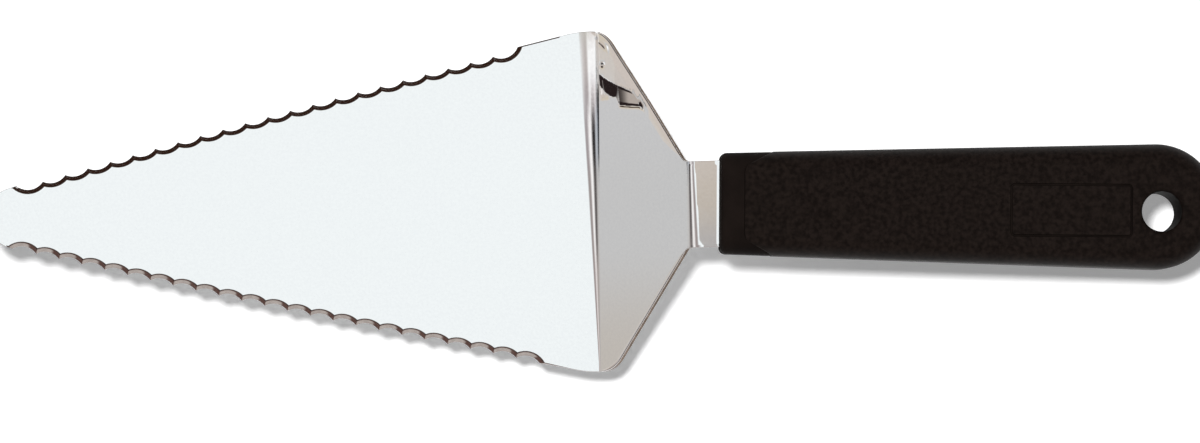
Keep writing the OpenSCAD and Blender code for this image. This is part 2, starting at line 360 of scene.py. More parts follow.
def dent(w, v):
    """Height that pressing has raised or sunk the riser's surface by."""
    if v < PRESS_FROM_V or not PRESS_FROM_W <= w <= PRESS_TO_W:
        return 0.0
    lower, upper = along_crease(w, LOWER_CREASE), along_crease(w, UPPER_CREASE)
    level = LIFT * between(w, PRESS_FROM_W, LIFT_RUN, LIFT_TO_W, LIFT_END_RUN)
    level *= 1 - LIFT_FALL * smooth((w - FALL_FROM_W) / FALL_RUN)
    height = level * min(max((v - lower) / (upper - lower), 0), 1)
    for crease, rise, half_w, ends in CREASE_LINES:
        height += rise * between(w, *ends) * spread(v - along_crease(w, crease), half_w)
    height -= SPOT_DEPTH * spread(math.hypot(w - SPOT[0], v - SPOT[1]), SPOT_HALF_W)
    for at_w, from_v, to_v, depth in TROUGHS:
        ends = between(v, from_v, TROUGH_END_RUN, to_v, TROUGH_END_RUN)
        height -= depth * ends * spread(w - at_w, TROUGH_HALF_W)
    (aw, av), (bw, bv) = DASH
    length = math.hypot(bw - aw, bv - av)
    run = ((w - aw) * (bw - aw) + (v - av) * (bv - av)) / length
    off = ((v - av) * (bw - aw) - (w - aw) * (bv - av)) / length
    ends = between(run, -DASH_END_RUN / 2, DASH_END_RUN, length + DASH_END_RUN / 2, DASH_END_RUN)
    ends *= smooth((w - PRESS_FROM_W) / DASH_FADE_RUN)
    return height - DASH_DEPTH * ends * spread(off, DASH_HALF_W)


def on_sheet(p, level, depth):
    middle, up = bent(p[0], p[1])
    return middle + up * (level * (HALF_SHEET - depth) + dent(p[0], p[1]))


def sheet_frame(p):
    """Across and up directions of the sheet's face at a place on the blank."""
    h = 0.01
    along = on_sheet((p[0] + h, p[1]), 1, 0) - on_sheet((p[0] - h, p[1]), 1, 0)
    across = on_sheet((p[0], p[1] + h), 1, 0) - on_sheet((p[0], p[1] - h), 1, 0)
    return unit(along), unit(across), unit(np.cross(along, across))


def sheet_tilted(p, outward, tilt):
    along, across, up = sheet_frame(p)
    out = unit(outward[0] * along + outward[1] * across)
    return math.cos(tilt) * up + math.sin(tilt) * out


def plain_rings(roll_w, roll_tilt):
    """Insets and rings of a plain edge. A ring is (level, depth, tilt before, tilt after)."""
    r, b, k = EDGE_ROUND if roll_tilt else PLAIN_ROUND, BURR_ROUND, HALF_ROUND
    sunk = math.tan(roll_tilt) * (roll_w - r) / 2
    quarter = math.pi / 4
    insets = [roll_w, (roll_w + r) / 2, r, r * k, 0, 0, b * k, b]
    rings = [
        (1, 0, 0, 0), (1, sunk / 4, roll_tilt / 2, roll_tilt / 2), (1, sunk, roll_tilt, roll_tilt),
        (1, sunk + r * k, quarter, quarter), (1, sunk + r, 2 * quarter, 2 * quarter),
        (-1, b, 2 * quarter, 2 * quarter), (-1, b * k, 3 * quarter, 3 * quarter), (-1, 0, math.pi, math.pi),
    ]
    return insets, rings


def scallop_rings():
    """Insets and rings of a ground scallop, with the bevel's crease rounded."""
    b, k, quarter = BURR_ROUND, HALF_ROUND, math.pi / 4
    c = CREASE_W / 2
    drop = c * math.tan(BEVEL_TILT)
    insets = [BEVEL_W + BEVEL_MARGIN, BEVEL_W + c, BEVEL_W - c, BEVEL_W / 2, 0, 0, b * k, b]
    rings = [
        (1, 0, 0, 0), (1, 0, 0, 0), (1, drop, BEVEL_TILT, BEVEL_TILT),
        (1, BEVEL_DROP / 2, BEVEL_TILT, BEVEL_TILT), (1, BEVEL_DROP, BEVEL_TILT, 2 * quarter),
        (-1, b, 2 * quarter, 2 * quarter), (-1, b * k, 3 * quarter, 3 * quarter), (-1, 0, math.pi, math.pi),
    ]
    return insets, rings


def plain_column(p, outward, roll_w=PLAIN_W, roll_tilt=0.0):
    insets, rings = plain_rings(roll_w, roll_tilt)
    return Column([p - i * outward for i in insets], rings, outward)


def edge_axes(side):
    along = vec(-math.cos(EDGE_ANGLE), -side * math.sin(EDGE_ANGLE))
    outward = vec(-math.sin(EDGE_ANGLE), side * math.cos(EDGE_ANGLE))
    return vec(0.0, side * APEX_HALF_W), along, outward


def bow(s):
    """Height of a long edge's bow over the straight line from heel to tip, and its slope."""
    if not BOW_START_L < s < TIP_TANGENT_L:
        return 0.0, 0.0
    slope = (BOW_START_L + TIP_TANGENT_L - 2 * s) / (2 * EDGE_BOW_R)
    return (s - BOW_START_L) * (TIP_TANGENT_L - s) / (2 * EDGE_BOW_R), slope


def base_place(side, s):
    """Place and outward direction on the plain outline, s along it from the heel's line round the nose."""
    start, along, outward = edge_axes(side)
    if s <= TIP_TANGENT_L:
        height, slope = bow(s)
        return start + s * along + height * outward, unit(outward - slope * along)
    turn = side * (s - TIP_TANGENT_L) / TIP_R
    c, k = math.cos(turn), math.sin(turn)
    out = vec(c * outward[0] - k * outward[1], k * outward[0] + c * outward[1])
    return vec(-BLADE_L + TIP_R, 0.0) + TIP_R * out, out


def base_reach(side, p):
    """Distance of a place inside the plain outline, and how far along the outline it lies."""
    start, along, outward = edge_axes(side)
    s = (p - start) @ along
    if s <= TIP_TANGENT_L:
        return bow(s)[0] - (p - start) @ outward, s
    ray = p - vec(-BLADE_L + TIP_R, 0.0)
    turn = math.atan2(side * (outward[0] * ray[1] - outward[1] * ray[0]), outward @ ray)
    return TIP_R - np.linalg.norm(ray), TIP_TANGENT_L + TIP_R * turn


def scallop_columns(side, plain_l, depth):
    """Columns along one edge's scallops, from the heel to the tip, and how far along the last ones lie."""
    start, along, outward = edge_axes(side)
    insets, rings = scallop_rings()
    plain_insets = plain_rings(PLAIN_W, 0)[0]
    count = int((TIP_TANGENT_L - plain_l) // SCALLOP_PITCH)
    columns = []

    def place(center, r, b):
        return center + r * (math.sin(b) * along - math.cos(b) * outward)

    def end_angle(center, r, inset, sign):
        low, high = 0.0, sign * WHEEL_REACH
        for _ in range(HALVINGS):
            mid = (low + high) / 2
            if base_reach(side, place(center, r, mid))[0] > inset:
                low = mid
            else:
                high = mid
        return low

    def wheel(k):
        s = plain_l + (k + 0.5) * SCALLOP_PITCH
        return start + s * along + (bow(s)[0] + SCALLOP_R - depth) * outward

    def cusp(center, other, r):
        step = (other - center) / 2
        inward = vec(-step[1], step[0]) / np.linalg.norm(step)
        inward = -inward if inward @ outward > 0 else inward
        ray = step + math.sqrt(r ** 2 - step @ step) * inward
        return math.atan2(ray @ along, -ray @ outward)

    radii = [SCALLOP_R + i for i in insets]
    for k in range(count):
        center = wheel(k)
        if k == 0:
            first = [end_angle(center, r, i, -1) for r, i in zip(radii, plain_insets)]
        else:
            first = [cusp(center, wheel(k - 1), r) for r in radii]
        if k == count - 1:
            last = [end_angle(center, r, i, 1) for r, i in zip(radii, plain_insets)]
        else:
            last = [cusp(center, wheel(k + 1), r) for r in radii]
        for m in range(SCALLOP_STEPS + 1):
            t = m / SCALLOP_STEPS
            places = [place(center, r, a + (b - a) * t) for r, a, b in zip(radii, first, last)]
            out = unit(center - places[EDGE_RING])
            if m == 0 and k > 0:
                columns[-1].after = out
            elif m == 0:
                columns.append(Column(places, rings, outward, out))
            else:
                columns.append(Column(places, rings, out))
    reach = [base_reach(side, p)[1] for p in columns[-1].places]
    columns[-1].after = base_place(side, reach[EDGE_RING])[1]
    return columns, reach


def arc_columns(center, r, from_a, to_a, steps, sign, rolls):
    """Columns along an arc of the outline. sign is 1 where it bulges out and -1 where it is hollow."""
    columns = []
    for m in range(steps + 1):
        a = from_a + (to_a - from_a) * m / steps
        ray = ray_at(a)
        columns.append(plain_column(center + r * ray, sign * ray, *rolls(m / steps)))
    return columns


def plain_roll(share):
    return PLAIN_W, 0.0


def heel_columns(side):
    """Columns of one side, from the neck's end in the collar to the straight edge of the blade."""
    roll_w = ROLL_W if side > 0 else NEAR_ROLL_W
    neck_x = RISER_L - BEND_LAND
    corner = vec(BEND_LAND, side * (HEEL_HALF_W - HEEL_CORNER_R))
    neck = vec(neck_x, side * NECK_W / 2 - NECK_OFFSET)
    fillet = neck + vec(0.0, side * NECK_FILLET_R)
    gap = fillet - corner
    lean = math.asin((HEEL_CORNER_R + NECK_FILLET_R) / np.linalg.norm(gap))
    lean = math.atan2(side * gap[1], gap[0]) - lean
    up = math.pi / 2
    columns = []
    seat = RISER_L + NECK_L + NECK_SEAT_L
    for m in range(NECK_STEPS):
        p = vec(seat + (neck_x - seat) * m / NECK_STEPS, neck[1])
        columns.append(plain_column(p, vec(0.0, float(side))))
    columns += arc_columns(
        fillet, NECK_FILLET_R, -side * up, side * (lean - up), FILLET_STEPS, -1, plain_roll)
    out = ray_at(side * (lean + up))
    slant_from = fillet + NECK_FILLET_R * ray_at(side * (lean - up))
    slant_to = corner + HEEL_CORNER_R * out
    for m in range(1, SLANT_STEPS):
        share = m / SLANT_STEPS
        grow = min(share * ROLL_GROWTH, 1)
        p = slant_from + (slant_to - slant_from) * share
        columns.append(plain_column(p, out, PLAIN_W + (roll_w - PLAIN_W) * grow, ROLL_TILT * grow))

    def fading_roll(share):
        return roll_w + (PLAIN_W - roll_w) * max(share * 2 - 1, 0), ROLL_TILT * min(2 - share * 2, 1)

    columns += arc_columns(corner, HEEL_CORNER_R, side * (lean + up), side * up, CORNER_STEPS, 1, fading_roll)
    columns.append(plain_column(vec(0.0, side * HEEL_HALF_W), vec(0.0, float(side))))
    center = vec(-BEND_LAND, side * (HEEL_HALF_W - HEEL_EDGE_R))
    columns += arc_columns(center, HEEL_EDGE_R, side * up, side * (up + EDGE_ANGLE), ARC_STEPS, 1, plain_roll)
    return columns


def blade_columns():
    """Columns round the whole blank: the far side, the nose, the near side and the tang."""
    halves, reaches = [], []
    for side, plain_l, depth in ((1, FAR_PLAIN_L, FAR_SCALLOP_DEPTH), (-1, NEAR_PLAIN_L, NEAR_SCALLOP_DEPTH)):
        scallops, reach = scallop_columns(side, plain_l, depth)
        halves.append(heel_columns(side) + scallops)
        reaches.append(reach)
    nose = []
    insets, rings = plain_rings(PLAIN_W, 0)
    half_l = TIP_TANGENT_L + TIP_R * (math.pi / 2 - EDGE_ANGLE)
    for m in range(1, NOSE_STEPS):
        places, out = [], None
        for j, (far, near) in enumerate(zip(*reaches)):
            s = far + (2 * half_l - near - far) * m / NOSE_STEPS
            side, s = (1, s) if s <= half_l else (-1, 2 * half_l - s)
            p, o = base_place(side, s)
            places.append(p - insets[j] * o)
            out = o if j == EDGE_RING else out
        nose.append(Column(places, rings, out))
    seat = RISER_L + NECK_L + NECK_SEAT_L
    tang_end = RISER_L + NECK_L + TANG_L
    outs = []
    for side in (-1, 1):
        corner = vec(seat, side * NECK_W / 2 - NECK_OFFSET)
        step = vec(seat, side * TANG_W / 2 - NECK_OFFSET)
        end = [plain_column(p, unit(vec(1.0, side))) for p in (corner, step)]
        outs.append(end if side < 0 else end[::-1])
    center = vec(tang_end - TANG_W / 2, -NECK_OFFSET)
    round_end = arc_columns(center, TANG_W / 2, -math.pi / 2, math.pi / 2, ARC_STEPS, 1, plain_roll)
    tang = outs[0] + round_end + outs[1]
    near = [c.turned() for c in halves[1][1:][::-1]]
    return halves[0][1:] + nose + near + tang


# Steps of the places inside the sheet's face, and how far across the blank they reach
BEND_STEP, BEND_PARTS = 1.2, 8
NECK_STEP, NECK_PARTS = 1.0, 4
FACE_STEP = 2.0
FACE_FROM_W, FACE_END_GAP = 4.6, 1.6
PRESS_STEP, PRESS_SHIFT = 0.27, 0.07
PRESS_RUN = (0.2, 21)
PRESS_REACH, PRESS_WIDE_REACH, PRESS_WIDE_W = (21, 42), (18, 42), 14
BEND_REACH = (-46, 46)
NECK_REACH = (-16, 14)
RISER_REACH = (-44, 20)
LIP_PLACES = (-0.1, 0, 0.1, 0.7)
SHEET_FILL_GAP = 0.45


def steel_face_places():
    """Places inside the sheet's face that its bends and its pressed corner need."""
    places = []
    for v in np.arange(*BEND_REACH, BEND_STEP):
        heel = bend_setback(v)
        places += [(heel * k / BEND_PARTS, v) for k in range(-BEND_PARTS - 1, BEND_PARTS + 2)]
    neck = (NECK_CURVE_R + HALF_SHEET) * math.tan(RISER_ANGLE / 2)
    for v in np.arange(*NECK_REACH, NECK_STEP):
        places += [(RISER_L + neck * k / NECK_PARTS, v) for k in range(-NECK_PARTS - 1, NECK_PARTS + 2)]
    places += [(lip_start(v) + k, v) for k in LIP_PLACES for v in np.arange(*NECK_REACH, NECK_STEP)]
    for w in np.arange(FACE_FROM_W, RISER_L - FACE_END_GAP, FACE_STEP):
        places += [(w, v) for v in np.arange(*RISER_REACH, FACE_STEP)]
    for w in np.arange(*PRESS_RUN, PRESS_STEP):
        across = np.arange(*(PRESS_WIDE_REACH if w > PRESS_WIDE_W else PRESS_REACH), PRESS_STEP)
        places += [(w + PRESS_SHIFT * (k % 2), v) for k, v in enumerate(across)]
    return places


def make_blade(materials):
    """The blade. Its slots are polished face, ground bevel and sheared edge, whose dark brown colour is a
    painted dark reflection.
    """
    skin = Skin()
    columns = blade_columns()
    ground = set(id(c) for c in columns if c.rings[3][3] == BEVEL_TILT)

    def slot_of(j, a, b):
        if id(a) in ground and id(b) in ground:
            return 1 if j >= 1 else 0
        # Slot 2, the sheared edge, carries a painted dark reflection
        return 2 if j >= EDGE_RING else 0

    table = rim(skin, columns, lambda p, ring: on_sheet(p, ring[0], ring[1]), sheet_tilted, True, slot_of)
    places = steel_face_places()
    top = [(row[0], c.places[0]) for row, c in zip(table, columns)]
    under = [(row[-1], c.places[-1]) for row, c in zip(table, columns)]
    for level, loop in ((1, top), (-1, under)):
        fill(
            skin, [loop], places, lambda p: on_sheet(p, level, 0), lambda p: level * sheet_frame(p)[2],
            SHEET_FILL_GAP)
    return skin.build("server_blade", materials, lambda p: Vector((p[0] + CENTER_SHIFT, p[1], p[2])))


# The handle, in its own frame: x runs from its front, z is up

SIDE_ANGLE = math.asin((END_R - FRONT_W / 2) / (END_CENTER_L - FRONT_EDGE_R))
CROWN_FROM_L = FRONT_EDGE_R
CROWN_TO_L = END_CENTER_L - END_R + GRIP_EDGE_R


def handle_half_t(x):
    share = min(max((x - CROWN_FROM_L) / (CROWN_TO_L - CROWN_FROM_L), 0), 1)
    return (FRONT_T + (END_T - FRONT_T) * share) / 2


def handle_half_w(x):
    return FRONT_W / 2 + (x - FRONT_EDGE_R) * math.tan(SIDE_ANGLE)


def seam_x(y):
    """Where the seam between collar and grip lies, by the distance from the handle's middle."""
    flare_run, flare_rise = COLLAR_SIDE_L - COLLAR_L, (FRONT_W - TONGUE_W) / 2
    flare = math.atan2(flare_rise, flare_run)
    inset = TONGUE_R * math.tan((math.pi / 2 - flare) / 2)
    y = abs(y)
    center_y = TONGUE_W / 2 - inset
    arc_end_y = center_y + TONGUE_R * math.cos(flare)
    if y <= center_y:
        return COLLAR_L
    if y < arc_end_y:
        return COLLAR_L + TONGUE_R - math.sqrt(max(TONGUE_R ** 2 - (y - center_y) ** 2, 0))
    return COLLAR_L + TONGUE_R * (1 - math.sin(flare)) + (y - arc_end_y) / math.tan(flare)


def place_handle(p):
    c, s = math.cos(HANDLE_TURN), math.sin(HANDLE_TURN)
    x = HANDLE_FRONT.x + CENTER_SHIFT + p[0] * c + p[1] * s
    return Vector((x, HANDLE_FRONT.y - p[0] * s + p[1] * c, HANDLE_FRONT.z + p[2]))


def handle_lift(p, ring):
    return vec(p[0], p[1], ring[0] * (handle_half_t(p[0]) - ring[1]))


def handle_tilted(p, outward, tilt):
    return vec(math.sin(tilt) * outward[0], math.sin(tilt) * outward[1], math.cos(tilt))


def round_rings(r, steps):
    """Insets and rings of an edge that is rounded above and below."""
    insets, rings = [], []
    for m in range(steps + 1):
        a = math.pi / 2 * m / steps
        insets.append(r * (1 - math.sin(a)))
        rings.append((1, r * (1 - math.cos(a)), a, a))
    for m in range(steps + 1):
        a = math.pi / 2 * m / steps
        insets.append(r * (1 - math.cos(a)))
        rings.append((-1, r * (1 - math.sin(a)), math.pi / 2 + a, math.pi / 2 + a))
    return insets, rings


LABEL_L = 29.2
LABEL_W = 12.4
LABEL_X = 84.9
LABEL_Y = -1.2
LABEL_R = 0.8
LABEL_LINE_W = 0.6
LABEL_DEPTH = 0.4
SEAM_LIP = 0.25
SEAM_DEPTH = 2.2
GRIP_RINGS = 10
HOLE_RINGS = 6
LABEL_CORNER_STEPS = 4
SIDE_STEPS = 46
END_STEPS = 72
SEAM_STEPS = 40
SEAM_TRIES = 30
HANDLE_GRID = 3.0
HANDLE_GRID_RUN = (8, 122)
HANDLE_GRID_REACH = (-12, 12.1)
HANDLE_FILL_GAP = 1.0
COLLAR_CORNER_STEPS = 12
COLLAR_WIDE_STEPS = 12
COLLAR_SIDE_STEPS = 5
COLLAR_FRONT_STEPS = 6
COLLAR_STEPS = 8
COLLAR_TRIES = 3


def label_loop(grow):
    """A rounded rectangle on the grip's upper face, larger by grow on each side."""
    half_l, half_w, r = LABEL_L / 2 + grow, LABEL_W / 2 + grow, LABEL_R + grow
    loop = []
    for k, (sx, sy) in enumerate(((1, 1), (-1, 1), (-1, -1), (1, -1))):
        for m in range(LABEL_CORNER_STEPS + 1):
            a = math.pi / 2 * (k + m / LABEL_CORNER_STEPS)
            corner = vec(LABEL_X + sx * (half_l - r), LABEL_Y + sy * (half_w - r))
            loop.append(corner + r * ray_at(a))
    return loop


def make_grip(materials):
    """The outer moulding, from the seam to the round end. Its slots are the grip and the frame's groove,
    which takes the duller collar plastic as painted shade.
    """
    skin = Skin()
    insets, rings = round_rings(GRIP_EDGE_R, GRIP_RINGS)
    slant_out = vec(-math.sin(SIDE_ANGLE), math.cos(SIDE_ANGLE))
    slant_along = ray_at(SIDE_ANGLE)
    side_start = vec(FRONT_EDGE_R, FRONT_W / 2)
    side_l = (END_CENTER_L - FRONT_EDGE_R) * math.cos(SIDE_ANGLE)
    starts = []
    for inset in insets:
        p = side_start - inset * slant_out
        s = COLLAR_L
        for _ in range(SEAM_TRIES):
            s = seam_x((p + s * slant_along)[1]) - p[0]
        starts.append(s + SEAM_LIP)
    far = []
    for m in range(SIDE_STEPS):
        t = m / SIDE_STEPS
        runs = [s + (side_l - s) * t for s in starts]
        places = [side_start - i * slant_out + run * slant_along for i, run in zip(insets, runs)]
        far.append(Column(places, rings, slant_out))
    end = []
    end_center = vec(END_CENTER_L, 0.0)
    for m in range(END_STEPS + 1):
        a = math.pi / 2 + SIDE_ANGLE - (math.pi + 2 * SIDE_ANGLE) * m / END_STEPS
        ray = ray_at(a)
        end.append(Column([end_center + (END_R - i) * ray for i in insets], rings, ray))
    mirror = vec(1.0, -1.0)
    near = [Column([p * mirror for p in c.places], rings, c.before * mirror) for c in far[::-1]]
    columns = far + end + near
    table = rim(skin, columns, handle_lift, handle_tilted, False, lambda j, a, b: 0)

    hole_insets, hole_rings = round_rings(HOLE_RIM_R, HOLE_RINGS)
    hole = []
    center = vec(HANDLE_L - HOLE_END_L, -HOLE_OFFSET)
    for m in range(END_STEPS):
        a = 2 * math.pi * m / END_STEPS
        ray = ray_at(a)
        hole.append(Column([center + (HOLE_D / 2 + i) * ray for i in hole_insets], hole_rings, -ray))
    hole_table = rim(skin, hole, handle_lift, handle_tilted, True, lambda j, a, b: 0)

    front_y = columns[0].places[0][1]
    ys = np.linspace(-front_y, front_y, SEAM_STEPS + 1)[1:-1]
    seams = {}
    for level in (1, -1):
        ring = (level, 0)
        row = 0 if level > 0 else -1
        flat = vec(0.0, 0.0, float(level))
        front = []
        for y in ys:
            p = vec(seam_x(y) + SEAM_LIP, y)
            front.append((skin.add(handle_lift(p, ring)), p))
        outline = [(r[row], c.places[row]) for r, c in zip(table, columns)] + front
        loops = [outline, [(r[row], c.places[row]) for r, c in zip(hole_table, hole)]]
        seams[level] = front
        if level > 0:
            # The frame's groove takes the duller collar plastic: painted shade in the groove
            wide, narrow = LABEL_LINE_W / 2, LABEL_LINE_W / 6
            cuts = ((wide, 0), (narrow, LABEL_DEPTH), (-narrow, LABEL_DEPTH), (-wide, 0))
            groove = [[(skin.add(handle_lift(p, (1, d))), p) for p in label_loop(g)] for g, d in cuts]
            for a, b in zip(groove, groove[1:]):
                for i in range(len(a)):
                    k = (i + 1) % len(a)
                    q = [skin.points[n] for n in (a[i][0], a[k][0], b[k][0])]
                    n = np.cross(q[1] - q[0], q[2] - q[0])
                    n = unit(n if n[2] > 0 else -n)
                    skin.face([a[i][0], a[k][0], b[k][0], b[i][0]], [n] * 4, 1)
            loops.append(groove[0])
            fill(skin, [groove[3]], [], lambda p: handle_lift(p, ring), lambda p: flat, HANDLE_FILL_GAP)
        across = np.arange(*HANDLE_GRID_REACH, HANDLE_GRID)
        grid = [(x, y) for x in np.arange(*HANDLE_GRID_RUN, HANDLE_GRID) for y in across]
        fill(skin, loops, grid, lambda p: handle_lift(p, ring), lambda p: flat, HANDLE_FILL_GAP)

    # The lip that turns down into the seam
    edge = []
    for j, (p, ring) in enumerate(zip(columns[0].places, rings)):
        edge.append((table[0][j], handle_tilted(p, slant_out, ring[2])))
    for index, _ in seams[-1][::-1]:
        edge.append((index, vec(0.0, 0.0, -1.0)))
    for j in range(len(rings) - 1, -1, -1):
        edge.append((table[-1][j], handle_tilted(None, slant_out * mirror, rings[j][2])))
    for index, _ in seams[1]:
        edge.append((index, vec(0.0, 0.0, 1.0)))
    close_seam(skin, edge, 1)
    return skin.build("soft_grip", materials, place_handle)


def close_seam(skin, edge, toward):
    """Rounds the open edge of a piece down into the seam and closes its end. toward is 1 for the grip."""
    n = len(edge)
    centers = np.array([skin.points[i] for i, _ in edge])
    ups = [up for _, up in edge]
    outs = []
    for k, up in enumerate(ups):
        out = unit(np.cross(unit(centers[(k + 1) % n] - centers[k - 1]), up))
        outs.append(-out if out[0] * toward > 0 else out)
    loops = [[i for i, _ in edge]]
    for a in (math.pi / 4, math.pi / 2):
        out_by, down_by = SEAM_LIP * math.sin(a), SEAM_LIP * (1 - math.cos(a))
        loops.append([skin.add(c + out * out_by - up * down_by) for c, out, up in zip(centers, outs, ups)])
    loops.append([skin.add(skin.points[i] - up * SEAM_DEPTH) for i, up in zip(loops[2], ups)])
    tilts = (0.0, math.pi / 4, math.pi / 2, math.pi / 2)
    for m in range(3):
        for k in range(n):
            q = (k + 1) % n
            corners = [loops[m][k], loops[m + 1][k], loops[m + 1][q], loops[m][q]]
            turns = ((k, tilts[m]), (k, tilts[m + 1]), (q, tilts[m + 1]), (q, tilts[m]))
            skin.face(corners, [math.cos(a) * ups[i] + math.sin(a) * outs[i] for i, a in turns])
    middle = skin.add(sum(skin.points[i] for i in loops[3]) / n)
    back = vec(-float(toward), 0.0, 0.0)
    for k in range(n):
        skin.face([loops[3][k], loops[3][(k + 1) % n], middle], [back] * 3)


def make_collar(materials):
    """The plain moulding at the neck: loops of a rounded rectangle from the front to the seam."""
    skin = Skin()
    inset = GRIP_PROUD
    r = GRIP_EDGE_R - inset

    def section(x, draw_in):
        """Places and outward directions round the handle at x, drawn in."""
        half_w = handle_half_w(x) - inset - draw_in
        half_t = handle_half_t(x) - inset - draw_in
        round_r = r - draw_in
        places = []
        turns = ((1, 1), (-1, 1), (-1, -1), (1, -1))
        for k, (sy, sz) in enumerate(turns):
            center = vec(x, sy * (half_w - round_r), sz * (half_t - round_r))
            for m in range(COLLAR_CORNER_STEPS + 1):
                a = math.pi / 2 * (k + m / COLLAR_CORNER_STEPS)
                out = vec(0.0, math.cos(a), math.sin(a))
                places.append((center + round_r * out, out))
            side_from = places[-1][0]
            ny, nz = turns[(k + 1) % 4]
            side_to = vec(x, ny * (half_w - round_r), nz * (half_t - round_r)) + round_r * out
            count = COLLAR_SIDE_STEPS if k % 2 else COLLAR_WIDE_STEPS
            for m in range(1, count):
                places.append((side_from + (side_to - side_from) * m / count, out))
        return places

    loops = []
    front = vec(-1.0, 0.0, 0.0)
    for m in range(COLLAR_FRONT_STEPS + 1):
        a = math.pi / 2 * m / COLLAR_FRONT_STEPS
        ring = section(FRONT_EDGE_R * (1 - math.cos(a)), FRONT_EDGE_R * (1 - math.sin(a)))
        loops.append([(skin.add(p), math.sin(a) * out + math.cos(a) * front) for p, out in ring])
    base = section(FRONT_EDGE_R, 0)
    for m in range(1, COLLAR_STEPS + 1):
        t = m / COLLAR_STEPS
        loop = []
        for k, (p, out) in enumerate(base):
            x_end = seam_x(p[1]) - SEAM_LIP
            x = FRONT_EDGE_R + (x_end - FRONT_EDGE_R) * t
            for _ in range(COLLAR_TRIES):
                q = section(x, 0)[k]
                x = FRONT_EDGE_R + (seam_x(q[0][1]) - SEAM_LIP - FRONT_EDGE_R) * t
            loop.append((skin.add(section(x, 0)[k][0]), out))
        loops.append(loop)
    n = len(base)
    for a, b in zip(loops, loops[1:]):
        for k in range(n):
            q = (k + 1) % n
            skin.face([a[k][0], a[q][0], b[q][0], b[k][0]], [a[k][1], a[q][1], b[q][1], b[k][1]])
    middle = skin.add((0.0, 0.0, 0.0))
    for k in range(n):
        skin.face([loops[0][k][0], loops[0][(k + 1) % n][0], middle], [front] * 3)
    close_seam(skin, [(i, unit(o)) for i, o in loops[-1]], -1)
    return skin.build("neck_collar", materials, place_handle)


# Materials

MOTTLE_STOPS = (0.35, 0.65)


def new_material(name):
    material = bpy.data.materials.new(name)
    material.use_nodes = True
    tree = material.node_tree
    tree.nodes.clear()
    out = tree.nodes.new("ShaderNodeOutputMaterial")
    return material, tree, out


def node(tree, kind, **values):
    """A new node, with each value set on its property or its input of that name."""
    made = tree.nodes.new(kind)
    for key, value in values.items():
        if hasattr(made, key):
            setattr(made, key, value)
        else:
            made.inputs[key.replace("_", " ")].default_value = value
    return made


def join(tree, rows):
    """Links one node's output to another's input, for each row."""
    for source, output, taker, socket in rows:
        tree.links.new(source.outputs[output], taker.inputs[socket])


def textured(name, color, second, scale, rough, rough_spread, bump, bump_scale, metallic=0.0, specular=0.5):
    """A material with two mottled colours, a spread of roughness and a fine bump."""
    material, tree, out = new_material(name)
    shader = node(tree, "ShaderNodeBsdfPrincipled", Metallic=metallic)
    shader.inputs["Specular IOR Level"].default_value = specular
    place = node(tree, "ShaderNodeTexCoord")
    mottle = node(tree, "ShaderNodeTexNoise", Scale=scale, Detail=3.0)
    fine = node(tree, "ShaderNodeTexNoise", Scale=bump_scale, Detail=2.0)
    ramp = node(tree, "ShaderNodeValToRGB")
    for element, position, shade in zip(ramp.color_ramp.elements, MOTTLE_STOPS, (color, second)):
        element.position, element.color = position, (*shade, 1)
    spread = node(tree, "ShaderNodeMapRange")
    spread.inputs["To Min"].default_value = rough - rough_spread
    spread.inputs["To Max"].default_value = rough + rough_spread
    relief = node(tree, "ShaderNodeBump", Strength=1.0, Distance=bump)
    join(tree, (
        (place, "Object", mottle, "Vector"), (place, "Object", fine, "Vector"),
        (mottle, "Fac", ramp, "Fac"), (ramp, "Color", shader, "Base Color"),
        (fine, "Fac", spread, "Value"), (spread, "Result", shader, "Roughness"),
        (fine, "Fac", relief, "Height"), (relief, "Normal", shader, "Normal"),
        (shader, "BSDF", out, "Surface"),
    ))
    return material


steel = textured(
    "polished_steel", (0.925, 0.925, 0.93), (0.955, 0.955, 0.955), 1500,
    rough=0.03, rough_spread=0.01, bump=1.5e-7, bump_scale=900, metallic=1.0)
cut_steel = textured(
    "ground_steel_edge", (0.66, 0.64, 0.63), (0.8, 0.79, 0.78), 900,
    rough=0.13, rough_spread=0.05, bump=3e-6, bump_scale=2500, metallic=1.0)
# The sheared edge is rough, and its dark brown colour is a painted dark reflection
sheared_steel_painted_reflection = textured(
    "sheared_edge_painted_reflection", (0.13, 0.092, 0.066), (0.24, 0.18, 0.14), 500,
    rough=0.4, rough_spread=0.1, bump=6e-6, bump_scale=2500, metallic=1.0)
core_plastic = textured(
    "collar_plastic", (0.0066, 0.0048, 0.0042), (0.0115, 0.0082, 0.007), 120,
    rough=0.65, rough_spread=0.08, bump=4e-6, bump_scale=1800, specular=0.03)
grip_rubber = textured(
    "grip_rubber", (0.006, 0.0042, 0.0036), (0.0135, 0.0095, 0.008), 900,
    rough=0.55, rough_spread=0.1, bump=2e-5, bump_scale=1500, specular=0.12)

# Pieces

blade = make_blade([steel, cut_steel, sheared_steel_painted_reflection])
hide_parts("blade")
collar = make_collar([core_plastic])
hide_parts("handle_core")
grip = make_grip([grip_rubber, core_plastic])
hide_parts("handle_grip")
for piece in (blade, collar, grip):
    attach(piece, "root")

# Floor: level with a server that would rest on its heel and its handle's end, but lower by FLOOR_GAP, which
# throws the shadow beside the server

